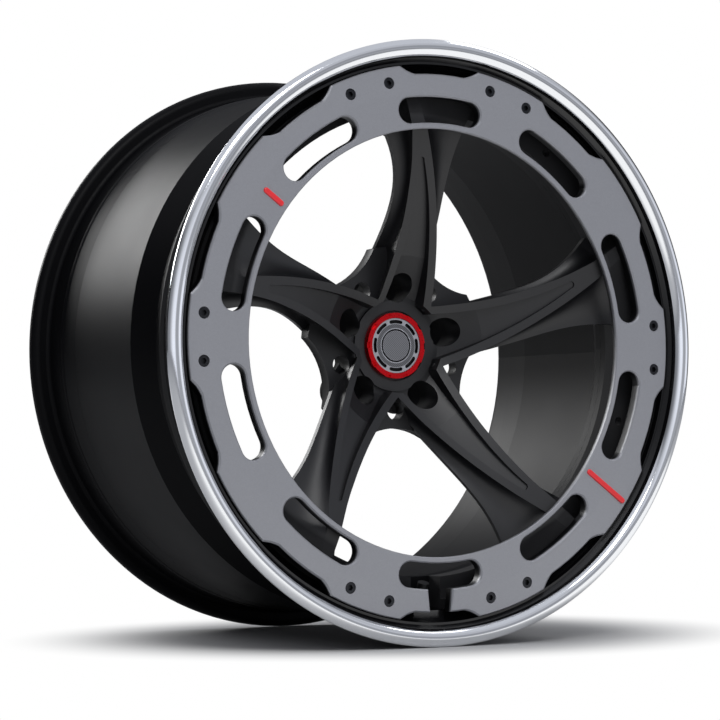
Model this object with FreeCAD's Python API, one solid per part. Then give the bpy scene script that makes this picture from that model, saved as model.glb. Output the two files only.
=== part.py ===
import FreeCAD, Part
import os
from math import cos, degrees, hypot, pi, radians, sin, tan

# Forged three-piece car wheel: a five-spoke centre, an outer lip and an inner barrel bolted
# together, with a screwed-on face ring, a clip-in centre cap and a clamp-in valve.
# Millimetres. The wheel turns about Y, its face looks towards -Y and +Z is up. The origin is the
# middle of the wheel. Depths run back from the front edge of the lip, angles run counter-clockwise
# from +X as seen from the front.

V = FreeCAD.Vector

# Rim, by its nominal diameter and width
RIM_DIAMETER = 533.4
RIM_WIDTH = 304.8
FLANGE_HEIGHT = 17.5
FLANGE_WIDTH = 12.6
FLANGE_EDGE_RADIUS = 3.5
FLANGE_CURL = 7.5
RIM_WALL = 4.5
BEAD_FILLET = 4.0
BEAD_SEAT_WIDTH = 24.0
BEAD_SEAT_FALL = 1.8
HUMP_HEIGHT = 1.2
HUMP_LENGTH = 8.0

# Lip: the crowned polished band in front and the wall behind it
POLISHED_WIDTH = 15.5
POLISHED_FALL = 8.6
LIP_CROWN = 2.2
LIP_WALL = 4.7
LIP_STEP = 2.2
LIP_STEP_DEPTH = 13.5
LIP_BREAK = 1.0
LIP_SHOULDER = 4.0
LIP_REAR_FALL = 5.7
SPIGOT_WALL = 9.2

# Face ring, which lies in the lip
RING_CLEARANCE = 1.0
RING_WIDTH = 60.0
RING_FRONT = 8.5
RING_THICKNESS = 12.0
RING_BEVEL_WIDTH = 26.0
RING_BEVEL_FALL = 1.0
RING_CHAMFER = 0.8
RING_EDGE = 5.0
RING_EDGE_RELIEF = 4.0
SLOT_COUNT = 10
SLOT_FIRST_ANGLE = 18.0
SLOT_MARGIN = 5.5
SLOT_WIDTH = 24.5
SLOT_HALF_ANGLE = 11.75
CUT_CHAMFER = 1.3
NOTCH_DEPTH = 8.5
NOTCH_FLOOR_HALF_ANGLE = 7.0
NOTCH_MOUTH_HALF_ANGLE = 9.5
NOTCH_CORNER = 4.0
VALVE_ANGLE = 270.0
VALVE_CUT_INNER_WIDTH = 29.0
VALVE_CUT_OUTER_WIDTH = 22.0

# Screws that hold the face ring, in pairs
SCREW_PAIR_ANGLES = (0.0, 72.0, 108.0, 180.0, 252.0, 288.0)
SCREW_PAIR_HALF_ANGLE = 5.0
SCREW_EDGE_DISTANCE = 14.5
SCREW_DIAMETER = 6.0
SCREW_HEAD_DIAMETER = 10.0
SCREW_HEAD_HEIGHT = 5.0
SCREW_HEAD_SINK = 0.8
SCREW_SOCKET = 5.0
SCREW_SOCKET_DEPTH = 3.0
SCREW_REACH = 10.0
HOLE_RUNOUT = 2.0
THREAD_CLEARANCE = 0.1
HEAD_CLEARANCE = 0.5

# Colour bars let into the face ring, placed by their distance from its inner edge
SHORT_BAR_ANGLE = 144.0
SHORT_BAR_MARGIN = 5.0
SHORT_BAR_LENGTH = 24.0
LONG_BAR_ANGLE = 324.0
LONG_BAR_MARGIN = 4.0
LONG_BAR_LENGTH = 53.0
BAR_WIDTH = 5.6
BAR_SINK = 2.5
BAR_RISE = 1.5
BAR_CLEARANCE = 0.05

# Flanges of centre, lip and barrel, clamped together by bolts screwed in from behind
CLAMP_WIDTH = 30.8
CENTRE_FLANGE_SINK = 16.5
CENTRE_FLANGE_THICKNESS = 20.0
LIP_FLANGE_THICKNESS = 8.0
BARREL_FLANGE_THICKNESS = 8.0
SPIGOT_CLEARANCE = 0.3
RING_SEAT_WIDTH = 9.7
BOLT_COUNT = 20
BOLT_INSET = 17.8
BOLT_DIAMETER = 8.0
BOLT_GRIP = 15.0
BOLT_FLANGE_DIAMETER = 15.0
BOLT_FLANGE_THICKNESS = 2.0
BOLT_HEAD_ACROSS = 10.0
BOLT_HEAD_HEIGHT = 7.0
BOLT_CLEARANCE = 0.5
WASHER_DIAMETER = 16.0
WASHER_THICKNESS = 1.6
SEAL_WIDTH = 4.0

# Barrel behind the clamped flanges
WALL_RISE = 2.0
WALL_TAPER = 24.0
WELL_DEPTH = 13.0
WELL_LENGTH = 28.0
WELL_FRONT_SLOPE = 7.0
WELL_REAR_SLOPE = 28.0
JOINT_LAND = 2.0

# Hub
BORE_RADIUS = 33.3
HUB_WALL = 12.7
HUB_SINK = 19.0
HUB_LENGTH = 53.0
COLLAR_INSET = 2.0
PAD_SINK = 17.0
PAD_MARGIN = 24.0
PAD_THICKNESS = 14.0
PAD_SPREAD = 16.0
PAD_SCALLOP_RADIUS = 70.0
LUG_COUNT = 5
LUG_CIRCLE_RADIUS = 56.0
LUG_ANGLE = 86.8
LUG_POCKET_RADIUS = 14.0
LUG_HOLE_RADIUS = 7.5
LUG_SEAT_HALF_ANGLE = 30.0
LUG_HOLE_LENGTH = 15.0
LUG_BOSS_WALL = 4.0
PAD_WINDOW_RADIUS = 9.0
PAD_WINDOW_WALL = 8.0
HUB_RELIEF_RADIUS = 9.0
HUB_RELIEF_OFFSET = 2.0

# Spokes. Side values are distances to the counter-clockwise side of the spoke's own radial line.
# A triple holds the values at the hub station, half-way and at the rim station.
SPOKE_COUNT = 5
SPOKE_ANGLE = 90.0
HUB_STATION = 60.0
RIM_STATION_INSET = 1.0
ROOT_STATION = 34.0
END_INSET = 7.5
SECTION_COUNT = 8
FACE_LEADING = (22.5, 15.3, 27.7)
FACE_TRAILING = (-31.5, -15.7, 14.5)
FACE_HUB_DEPTH = 76.0
FACE_SAG = 2.2
FACE_OVERLAP = 4.0
REAR_LEADING = 16.2
REAR_LEADING_FLARE = 31.0
REAR_LEADING_FLARE_LENGTH = 90.0
REAR_LEADING_OVERRUN = 3.0
REAR_LEADING_SETBACK = 35.0
REAR_LEADING_LEVEL_LENGTH = 17.0
REAR_TRAILING = -32.5
REAR_TRAILING_FLARE = -15.5
REAR_TRAILING_FLARE_LENGTH = 70.0
REAR_TRAILING_SETBACKS = (83.5, 44.0, 18.0)
SPOKE_EDGE = 5.5
LEADING_HOLLOW = 8.0
TRAILING_HOLLOW = 5.0
FACE_STOCK = 12.0

# Sunk panel on the hub and spokes
PANEL_BORDER = 8.0
PANEL_TIP_INSET = 24.5
PANEL_TIP_SINK = 2.0
PANEL_TIP_WIDTH = 7.0
PANEL_MIDDLE_RADIUS = 125.0
PANEL_MIDDLE_SINK = 5.5
PANEL_CREASE_RADIUS = 86.0
PANEL_CREASE_SINK = 8.0
PANEL_FLAT_RADIUS = 50.0
PANEL_FLAT_SINK = 3.0

# Centre cap
CAP_LEDGE = 0.5
CAP_RISE = 4.0
CAP_RECESS = 4.0
CAP_PLATE = 1.5
CAP_CLEARANCE = 0.3
CAP_RING_INSET = 2.0
CAP_RING_WIDTH = 5.0
CAP_RING_NOTCHES = 10
CAP_RING_NOTCH_DEPTH = 1.6
CAP_RING_NOTCH_LENGTH = 6.0
CAP_DISC_SINK = 1.0
CAP_DISC_GROOVES = 8
CAP_DISC_GROOVE_MARGIN = 1.6
CAP_DISC_GROOVE_WIDTH = 3.4
CAP_DISC_GROOVE_HALF_ANGLE = 18.0
CAP_DISC_GROOVE_DEPTH = 2.5
CAP_DISC_CIRCLE_RADIUS = 14.5
CAP_DISC_CIRCLE_WIDTH = 1.6
CAP_LEGS = 6
CAP_LEG_WALL = 2.0
CAP_LEG_LENGTH = 15.0
CAP_LEG_GAP = 6.0
CAP_BEAD_LENGTH = 3.0
CAP_BEAD = 0.7
CAP_WIRE_RADIUS = 0.8
CAP_WIRE_CLEARANCE = 0.05

# Valve
VALVE_TILT = 20.0
VALVE_SETBACK = 7.0
VALVE_STEM_RADIUS = 4.0
VALVE_CLEARANCE = 0.15
VALVE_SEAT_MARGIN = 1.0
VALVE_HEAD_RADIUS = 7.5
VALVE_HEAD_THICKNESS = 3.0
GROMMET_THICKNESS = 2.0
VALVE_WASHER_THICKNESS = 1.0
VALVE_NUT_ACROSS = 13.0
VALVE_NUT_THICKNESS = 5.5
VALVE_LENGTH = 26.0
VALVE_BORE_RADIUS = 1.8
VALVE_CORE_LENGTH = 20.0
VALVE_CAP_WALL = 1.4
VALVE_CAP_LENGTH = 11.0
VALVE_CAP_END = 1.5
VALVE_POCKET_WIDTH = 32.0

# Sizes that follow from those above: rim, lip and barrel
OVERALL_WIDTH = RIM_WIDTH + 2 * FLANGE_WIDTH
BEAD_RADIUS = RIM_DIAMETER / 2
RIM_RADIUS = BEAD_RADIUS + FLANGE_HEIGHT
LIP_REAR_RADIUS = BEAD_RADIUS - LIP_REAR_FALL
SPIGOT_RADIUS = LIP_REAR_RADIUS - SPIGOT_WALL
CLAMP_INNER_RADIUS = SPIGOT_RADIUS - CLAMP_WIDTH
BOLT_CIRCLE_RADIUS = SPIGOT_RADIUS - BOLT_INSET
WALL_RADIUS = LIP_REAR_RADIUS + WALL_RISE
WELL_RADIUS = WALL_RADIUS - WELL_DEPTH

# Face ring and the depths behind it
RING_BAY_RADIUS = BEAD_RADIUS - LIP_WALL
RING_OUTER_RADIUS = RING_BAY_RADIUS - RING_CLEARANCE
RING_INNER_RADIUS = RING_OUTER_RADIUS - RING_WIDTH
RING_FLAT_RADIUS = RING_OUTER_RADIUS - RING_BEVEL_WIDTH
RING_REAR = RING_FRONT + RING_THICKNESS
SLOT_INNER_RADIUS = RING_INNER_RADIUS + SLOT_MARGIN
SLOT_OUTER_RADIUS = SLOT_INNER_RADIUS + SLOT_WIDTH
NOTCH_FLOOR_RADIUS = RING_OUTER_RADIUS - NOTCH_DEPTH
SCREW_CIRCLE_RADIUS = RING_OUTER_RADIUS - SCREW_EDGE_DISTANCE
CENTRE_RADIUS = SPIGOT_RADIUS - SPIGOT_CLEARANCE
CENTRE_FLANGE_FRONT = RING_REAR + CENTRE_FLANGE_SINK
CENTRE_FLANGE_REAR = CENTRE_FLANGE_FRONT + CENTRE_FLANGE_THICKNESS
LIP_FLANGE_REAR = CENTRE_FLANGE_REAR + LIP_FLANGE_THICKNESS
BARREL_FLANGE_REAR = LIP_FLANGE_REAR + BARREL_FLANGE_THICKNESS
BOLT_END_DEPTH = CENTRE_FLANGE_REAR - BOLT_GRIP
VALVE_DEPTH = CENTRE_FLANGE_REAR - VALVE_SETBACK
VALVE_SEAT_RADIUS = VALVE_HEAD_RADIUS + VALVE_SEAT_MARGIN

# Hub, spokes and cap
HUB_FACE = FACE_HUB_DEPTH + HUB_SINK
MOUNT_FACE = HUB_FACE + HUB_LENGTH
HUB_CORE_RADIUS = BORE_RADIUS + HUB_WALL
PAD_RADIUS = LUG_CIRCLE_RADIUS + PAD_MARGIN
COLLAR_RADIUS = HUB_CORE_RADIUS - COLLAR_INSET
PAD_FRONT = FACE_HUB_DEPTH + PAD_SINK
PAD_REAR = PAD_FRONT + PAD_THICKNESS
PAD_WINDOW_CIRCLE = HUB_CORE_RADIUS + PAD_WINDOW_WALL + PAD_WINDOW_RADIUS
HUB_RELIEF_CIRCLE = HUB_CORE_RADIUS + HUB_RELIEF_OFFSET
RIM_STATION = CLAMP_INNER_RADIUS - RIM_STATION_INSET
END_STATION = CENTRE_RADIUS - END_INSET
MIDDLE_STATION = (HUB_STATION + RIM_STATION) / 2
FACE_RIM_RADIUS = RING_INNER_RADIUS + FACE_OVERLAP
REAR_LEADING_FLARE_START = RIM_STATION - REAR_LEADING_FLARE_LENGTH
REAR_TRAILING_FLARE_START = RIM_STATION - REAR_TRAILING_FLARE_LENGTH
REAR_LEADING_LEVEL_START = RIM_STATION - REAR_LEADING_LEVEL_LENGTH
REAR_LEADING_HUB_DEPTH = MOUNT_FACE + REAR_LEADING_OVERRUN
REAR_LEADING_RIM_DEPTH = RING_REAR + REAR_LEADING_SETBACK
PANEL_TIP_RADIUS = RING_INNER_RADIUS - PANEL_TIP_INSET
CAP_RADIUS = BORE_RADIUS + CAP_LEDGE
CAP_RING_RADIUS = CAP_RADIUS - CAP_RING_INSET
CAP_DISC_RADIUS = CAP_RING_RADIUS - CAP_RING_WIDTH - CAP_CLEARANCE
CAP_DISC_GROOVE_RADIUS = CAP_DISC_RADIUS - CAP_DISC_GROOVE_MARGIN - CAP_DISC_GROOVE_WIDTH / 2
CAP_SEAT = HUB_FACE + CAP_RECESS
CAP_PLATE_FRONT = CAP_SEAT - CAP_PLATE
CAP_FRONT = HUB_FACE - CAP_RISE
CAP_LEG_RADIUS = BORE_RADIUS - CAP_CLEARANCE
CAP_LEG_END = CAP_SEAT + CAP_LEG_LENGTH

PITCH = 360.0 / SPOKE_COUNT
QUARTER = 1 - cos(pi / 4)


# Places and plain shapes


def at(depth):
    """Y of a depth behind the front edge of the lip."""
    return depth - OVERALL_WIDTH / 2


def place(radius, angle, depth):
    """Point by radius, angle and depth."""
    return V(radius * cos(radians(angle)), at(depth), radius * sin(radians(angle)))


def line(start, end):
    return Part.LineSegment(start, end).toShape()


def arc(start, middle, end):
    return Part.Arc(start, middle, end).toShape()


def turned(*steps):
    """Turned solid. A step is a corner (radius, depth), or a (middle, end) pair for an arc."""
    start = place(steps[0][0], 0, steps[0][1])
    here = start
    edges = []
    for step in steps[1:]:
        if isinstance(step[0], tuple):
            end = place(step[1][0], 0, step[1][1])
            edges.append(arc(here, place(step[0][0], 0, step[0][1]), end))
        else:
            end = place(step[0], 0, step[1])
            edges.append(line(here, end))
        here = end
    edges.append(line(here, start))
    return Part.Face(Part.Wire(edges)).revolve(V(0, 0, 0), V(0, 1, 0), 360)


def turn(shape, angle):
    """Copy of a shape, turned counter-clockwise about the wheel's axis."""
    copy = shape.copy()
    copy.rotate(V(0, 0, 0), V(0, 1, 0), -angle)
    return copy


def pattern(shape, angles):
    """Copies of a shape made at angle 0."""
    return [turn(shape, angle) for angle in angles]


def even_angles(count, first=0.0):
    return [first + i * 360.0 / count for i in range(count)]


def drill(radius, angle, hole_radius, front, rear):
    """Cylinder along the wheel's axis."""
    return Part.makeCylinder(hole_radius, rear - front, place(radius, angle, front), V(0, 1, 0))


def hexagon(across, length, base, axis, twist=0.0):
    """Hexagonal prism by its width across flats."""
    corner = across / 2 / cos(pi / 6)
    angles = [radians(twist) + i * pi / 3 for i in range(7)]
    points = [V(corner * cos(a), corner * sin(a), 0) for a in angles]
    prism = Part.Face(Part.makePolygon(points)).extrude(V(0, 0, length))
    prism.Placement = FreeCAD.Placement(base, FreeCAD.Rotation(V(0, 0, 1), axis))
    return prism


def prism(wire, length):
    """Wire across the wheel's axis, drawn out to the rear."""
    return Part.Face(wire).extrude(V(0, length, 0))


def bolt_angles():
    """Bolt places, with the one at the valve left free."""
    free = 180.0 / BOLT_COUNT
    return [angle for angle in even_angles(BOLT_COUNT) if abs(angle - VALVE_ANGLE) > free]


def screw_angles():
    return [a + side * SCREW_PAIR_HALF_ANGLE for a in SCREW_PAIR_ANGLES for side in (-1, 1)]


# Rim


def flange_steps(outside, inward):
    """Rim flange from its rounded outside corner to the end of the bead seat's hump.

    outside is the depth of the flange's outer face, inward is +1 or -1 towards the tyre."""
    def deep(distance):
        return outside + inward * distance

    seat_low = BEAD_RADIUS - BEAD_SEAT_FALL
    seat_end = FLANGE_WIDTH + BEAD_SEAT_WIDTH
    edge = FLANGE_EDGE_RADIUS * QUARTER
    curl = FLANGE_CURL * QUARTER
    fillet = BEAD_FILLET * QUARTER
    return [
        (RIM_RADIUS - FLANGE_EDGE_RADIUS, outside),
        ((RIM_RADIUS - edge, deep(edge)), (RIM_RADIUS, deep(FLANGE_EDGE_RADIUS))),
        (RIM_RADIUS, deep(FLANGE_WIDTH - FLANGE_CURL)),
        ((RIM_RADIUS - curl, deep(FLANGE_WIDTH - curl)), (RIM_RADIUS - FLANGE_CURL, deep(FLANGE_WIDTH))),
        (BEAD_RADIUS + BEAD_FILLET, deep(FLANGE_WIDTH)),
        ((BEAD_RADIUS + fillet, deep(FLANGE_WIDTH + fillet)), (BEAD_RADIUS, deep(FLANGE_WIDTH + BEAD_FILLET))),
        (seat_low, deep(seat_end)),
        ((seat_low + HUMP_HEIGHT, deep(seat_end + HUMP_LENGTH / 2)), (seat_low, deep(seat_end + HUMP_LENGTH))),
    ]


def crown(inner_radius, inner_depth, outer_radius, outer_depth):
    """Top of the polished band, which swells forward of the chord between its two edges."""
    width = outer_radius - inner_radius
    fall = inner_depth - outer_depth
    share = LIP_CROWN / hypot(width, fall)
    return (inner_radius + outer_radius) / 2 - fall * share, (inner_depth + outer_depth) / 2 - width * share


def bolt_holes(front, rear):
    radius = (BOLT_DIAMETER + BOLT_CLEARANCE) / 2
    return [drill(BOLT_CIRCLE_RADIUS, angle, radius, front, rear) for angle in bolt_angles()]


def outer_lip():
    """Polished front flange, outer bead seat and the flange clamped behind the centre."""
    shoulder = FLANGE_WIDTH + BEAD_SEAT_WIDTH + HUMP_LENGTH + LIP_SHOULDER
    polished_inner = RIM_RADIUS - POLISHED_WIDTH
    flange = flange_steps(0, 1)
    lip = turned(
        (polished_inner, POLISHED_FALL),
        (crown(polished_inner, POLISHED_FALL, *flange[0]), flange[0]),
        *flange[1:],
        (LIP_REAR_RADIUS, shoulder),
        (LIP_REAR_RADIUS, LIP_FLANGE_REAR),
        (CLAMP_INNER_RADIUS, LIP_FLANGE_REAR),
        (CLAMP_INNER_RADIUS, CENTRE_FLANGE_REAR),
        (SPIGOT_RADIUS, CENTRE_FLANGE_REAR),
        (SPIGOT_RADIUS, RING_REAR + RING_BAY_RADIUS - SPIGOT_RADIUS),
        (RING_BAY_RADIUS, RING_REAR),
        (RING_BAY_RADIUS, LIP_STEP_DEPTH),
        (RING_BAY_RADIUS + LIP_STEP, LIP_STEP_DEPTH),
        (polished_inner - LIP_BREAK, POLISHED_FALL + LIP_BREAK),
    )
    return lip.cut(bolt_holes(CENTRE_FLANGE_REAR, LIP_FLANGE_REAR) + valve_cuts())


def inner_barrel():
    """Rear flange, inner bead seat, long wall, tyre well and clamped flange."""
    rear = OVERALL_WIDTH
    seat_inner = BEAD_RADIUS - RIM_WALL
    wall_inner = WALL_RADIUS - RIM_WALL
    well_inner = WELL_RADIUS - RIM_WALL
    well_start = LIP_FLANGE_REAR + JOINT_LAND + WELL_FRONT_SLOPE
    well_end = well_start + WELL_LENGTH
    wall_start = well_end + WELL_REAR_SLOPE
    wall_end = rear - FLANGE_WIDTH - BEAD_SEAT_WIDTH - HUMP_LENGTH - WALL_TAPER
    barrel = turned(
        *flange_steps(rear, -1),
        (WALL_RADIUS, wall_end),
        (WALL_RADIUS, wall_start),
        (WELL_RADIUS, well_end),
        (WELL_RADIUS, well_start),
        (WALL_RADIUS, LIP_FLANGE_REAR + JOINT_LAND),
        (WALL_RADIUS, LIP_FLANGE_REAR),
        (CLAMP_INNER_RADIUS, LIP_FLANGE_REAR),
        (CLAMP_INNER_RADIUS, BARREL_FLANGE_REAR),
        (well_inner, BARREL_FLANGE_REAR),
        (well_inner, well_end),
        (wall_inner, wall_start),
        (wall_inner, wall_end),
        (seat_inner - BEAD_SEAT_FALL, rear - FLANGE_WIDTH - BEAD_SEAT_WIDTH),
        (seat_inner, rear - FLANGE_WIDTH),
        (RIM_RADIUS - POLISHED_WIDTH, rear),
    )
    return barrel.cut(bolt_holes(LIP_FLANGE_REAR, BARREL_FLANGE_REAR))


def rim_seal():
    """Sealing bead in the corner between lip and barrel, on the tyre side."""
    return turned((LIP_REAR_RADIUS, LIP_FLANGE_REAR - SEAL_WIDTH), (LIP_REAR_RADIUS, LIP_FLANGE_REAR),
                  (WALL_RADIUS, LIP_FLANGE_REAR))


# Face ring


def ring_front_at(radius):
    """Depth of the ring's face, flat inside and slightly bevelled outside."""
    share = (radius - RING_FLAT_RADIUS) / (RING_OUTER_RADIUS - RING_FLAT_RADIUS)
    return RING_FRONT + RING_BEVEL_FALL * max(0.0, share)


def slot_wire(inner, outer, half_angle, depth, grow=0.0):
    """Curved slot with round ends, about angle 0."""
    middle = (inner + outer) / 2
    half = (outer - inner) / 2 + grow
    turn_end = half_angle - degrees((outer - inner) / 2 / middle)
    edges = []
    for side in (1, -1):
        a = side * turn_end
        tip = place(middle, a, depth) + V(-sin(radians(a)), 0, cos(radians(a))) * half * side
        edges.append(arc(place(middle + side * half, -a, depth), place(middle + side * half, 0, depth),
                         place(middle + side * half, a, depth)))
        edges.append(arc(place(middle + side * half, a, depth), tip, place(middle - side * half, a, depth)))
    return Part.Wire(edges)


def notch_wire(depth, grow=0.0):
    """Flared notch in the ring's outer edge, about angle 0."""
    floor = NOTCH_FLOOR_RADIUS - grow
    mouth = RING_OUTER_RADIUS + HOLE_RUNOUT
    spread = degrees(grow / floor)
    floor_angle = NOTCH_FLOOR_HALF_ANGLE + spread
    slope = (NOTCH_MOUTH_HALF_ANGLE - NOTCH_FLOOR_HALF_ANGLE) / (RING_OUTER_RADIUS - NOTCH_FLOOR_RADIUS)
    corner_angle = degrees(NOTCH_CORNER / floor)

    def side_point(radius, side):
        return place(radius, side * (floor_angle + slope * (radius - floor)), depth)

    def corner(side):
        inside = place(floor + NOTCH_CORNER * QUARTER, side * (floor_angle - corner_angle * QUARTER / 2), depth)
        return side_point(floor + NOTCH_CORNER, side), inside, place(floor, side * (floor_angle - corner_angle), depth)

    left = corner(1)
    right = corner(-1)
    return Part.Wire([
        line(side_point(mouth, 1), left[0]),
        arc(*left),
        arc(left[2], place(floor, 0, depth), right[2]),
        arc(right[2], right[1], right[0]),
        line(right[0], side_point(mouth, -1)),
        arc(side_point(mouth, -1), place(mouth, 0, depth), side_point(mouth, 1)),
    ])


def chamfered_cut(wire_at, front, rear):
    """Cut through from front to rear, with a 45 degree chamfer at the front."""
    lead = CUT_CHAMFER
    flare = Part.makeLoft([wire_at(front - lead, 2 * lead), wire_at(front + lead, 0.0)], True, True)
    return [prism(wire_at(front - lead, 0.0), rear - front + 2 * lead), flare]


def bar_solid(angle, margin, length, front, rear, grow=0.0):
    """Round-ended bar lying along a radius, by its distance from the ring's inner edge."""
    half = BAR_WIDTH / 2 + grow
    start = RING_INNER_RADIUS + margin + BAR_WIDTH / 2
    end = RING_INNER_RADIUS + margin + length - BAR_WIDTH / 2
    y = at(front)
    wire = Part.Wire([
        line(V(start, y, half), V(end, y, half)),
        arc(V(end, y, half), V(end + half, y, 0), V(end, y, -half)),
        line(V(end, y, -half), V(start, y, -half)),
        arc(V(start, y, -half), V(start - half, y, 0), V(start, y, half)),
    ])
    return turn(prism(wire, rear - front), angle)


def bar_pocket(angle, margin, length):
    return bar_solid(angle, margin, length, RING_FRONT - BAR_RISE, RING_FRONT + BAR_SINK, BAR_CLEARANCE)


def mark_bar(angle, margin, length):
    """Colour bar with a rounded top, let into the face ring."""
    bar = bar_solid(angle, margin, length, RING_FRONT - BAR_RISE, RING_FRONT + BAR_SINK)
    top = at(RING_FRONT - BAR_RISE)
    rim = [edge for edge in bar.Edges if all(abs(v.Point.y - top) < 1e-6 for v in edge.Vertexes)]
    return bar.makeFillet(BAR_RISE, rim)


def screw_seat():
    """Depth of the shoulder under the screw heads."""
    return ring_front_at(SCREW_CIRCLE_RADIUS) + SCREW_HEAD_SINK + SCREW_HEAD_HEIGHT


def valve_cut_wire(depth, grow=0.0):
    """Opening in the ring in front of the valve, narrowing outwards."""
    inner = (SLOT_INNER_RADIUS + SLOT_OUTER_RADIUS) / 2
    outer = NOTCH_FLOOR_RADIUS + HOLE_RUNOUT
    wide = VALVE_CUT_INNER_WIDTH / 2 + grow
    narrow = VALVE_CUT_OUTER_WIDTH / 2 + grow
    y = at(depth)
    return Part.makePolygon([V(inner, y, -wide), V(outer, y, -narrow), V(outer, y, narrow),
                             V(inner, y, wide), V(inner, y, -wide)])


def face_ring():
    """Slotted and notched ring screwed to the centre."""
    outer_front = ring_front_at(RING_OUTER_RADIUS)
    ring = turned(
        (RING_INNER_RADIUS + RING_CHAMFER, RING_FRONT),
        (RING_FLAT_RADIUS, RING_FRONT),
        (RING_OUTER_RADIUS - RING_CHAMFER, outer_front),
        (RING_OUTER_RADIUS, outer_front + RING_CHAMFER),
        (RING_OUTER_RADIUS, RING_REAR),
        (RING_INNER_RADIUS + RING_EDGE_RELIEF, RING_REAR),
        (RING_INNER_RADIUS, RING_FRONT + RING_EDGE),
        (RING_INNER_RADIUS, RING_FRONT + RING_CHAMFER),
    )
    slots = chamfered_cut(
        lambda depth, grow: slot_wire(SLOT_INNER_RADIUS, SLOT_OUTER_RADIUS, SLOT_HALF_ANGLE, depth, grow),
        RING_FRONT, RING_REAR)
    notches = chamfered_cut(notch_wire, ring_front_at(NOTCH_FLOOR_RADIUS), RING_REAR)
    valve_cut = chamfered_cut(valve_cut_wire, RING_FRONT, RING_REAR)
    cuts = []
    for shape in slots + notches:
        cuts += pattern(shape, even_angles(SLOT_COUNT, SLOT_FIRST_ANGLE))
    cuts += [turn(shape, VALVE_ANGLE) for shape in valve_cut]
    for angle in screw_angles():
        cuts.append(drill(SCREW_CIRCLE_RADIUS, angle, SCREW_HEAD_DIAMETER / 2 + HEAD_CLEARANCE, 0, screw_seat()))
        cuts.append(drill(SCREW_CIRCLE_RADIUS, angle, (SCREW_DIAMETER + HEAD_CLEARANCE) / 2, 0, RING_REAR))
    cuts.append(bar_pocket(SHORT_BAR_ANGLE, SHORT_BAR_MARGIN, SHORT_BAR_LENGTH))
    cuts.append(bar_pocket(LONG_BAR_ANGLE, LONG_BAR_MARGIN, LONG_BAR_LENGTH))
    return ring.cut(cuts)


def ring_screws():
    """Socket screws that hold the face ring to the centre."""
    seat = screw_seat()
    head_front = seat - SCREW_HEAD_HEIGHT
    screws = []
    for angle in screw_angles():
        head = drill(SCREW_CIRCLE_RADIUS, angle, SCREW_HEAD_DIAMETER / 2, head_front, seat)
        shank = drill(SCREW_CIRCLE_RADIUS, angle, SCREW_DIAMETER / 2, seat, RING_REAR + SCREW_REACH)
        socket = hexagon(SCREW_SOCKET, SCREW_SOCKET_DEPTH, place(SCREW_CIRCLE_RADIUS, angle, head_front), V(0, 1, 0))
        screws.append(head.fuse(shank).cut(socket).removeSplitter())
    return Part.makeCompound(screws)


# Clamping bolts


def assembly_bolts():
    """Twelve-point bolts screwed into the centre from inside the barrel."""
    base = BARREL_FLANGE_REAR + WASHER_THICKNESS
    head_base = base + BOLT_FLANGE_THICKNESS
    bolts = []
    for angle in bolt_angles():
        shank = drill(BOLT_CIRCLE_RADIUS, angle, BOLT_DIAMETER / 2, BOLT_END_DEPTH, base)
        flange = drill(BOLT_CIRCLE_RADIUS, angle, BOLT_FLANGE_DIAMETER / 2, base, head_base)
        spot = place(BOLT_CIRCLE_RADIUS, angle, head_base)
        points = [hexagon(BOLT_HEAD_ACROSS, BOLT_HEAD_HEIGHT, spot, V(0, 1, 0), twist) for twist in (0, 30)]
        bolts.append(shank.fuse([flange] + points).removeSplitter())
    return Part.makeCompound(bolts)


def assembly_washers():
    washers = []
    for angle in bolt_angles():
        disc = drill(BOLT_CIRCLE_RADIUS, angle, WASHER_DIAMETER / 2, BARREL_FLANGE_REAR,
                     BARREL_FLANGE_REAR + WASHER_THICKNESS)
        hole = drill(BOLT_CIRCLE_RADIUS, angle, (BOLT_DIAMETER + BOLT_CLEARANCE) / 2, BARREL_FLANGE_REAR,
                     BARREL_FLANGE_REAR + WASHER_THICKNESS)
        washers.append(disc.cut(hole))
    return Part.makeCompound(washers)


# Centre


def blend(triple, station):
    """Smooth value along a spoke, from those at the hub, half-way and at the rim."""
    hub, middle, rim = triple
    s = (station - MIDDLE_STATION) / (RIM_STATION - MIDDLE_STATION)
    return middle + (rim - hub) / 2 * s + ((rim + hub) / 2 - middle) * s * s


def flare(station, start, amount):
    """Widening that grows from its start towards the rim."""
    return amount * (max(0.0, station - start) / (RIM_STATION - start)) ** 2


def face_depth(radius):
    """Depth of the spokes' dished face, which runs into the seat of the face ring."""
    share = min(1.0, (radius - HUB_STATION) / (FACE_RIM_RADIUS - HUB_STATION))
    straight = FACE_HUB_DEPTH + (RING_REAR - FACE_HUB_DEPTH) * share
    return straight - 4 * FACE_SAG * share * (1 - share)


def rear_leading_depth(station):
    """Depth of a spoke's rear edge on its counter-clockwise side, steep at the hub."""
    reach = REAR_LEADING_LEVEL_START - HUB_STATION
    share = max(0.0, REAR_LEADING_LEVEL_START - station) / reach
    return REAR_LEADING_RIM_DEPTH + (REAR_LEADING_HUB_DEPTH - REAR_LEADING_RIM_DEPTH) * share ** 2


def hollow(start, end, depth):
    """Point that makes a wall hollow, beside the middle of the chord from start to end."""
    chord = end - start
    return (start + end) / 2 + V(-chord.y, chord.x, 0) * (depth / chord.Length)


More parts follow.
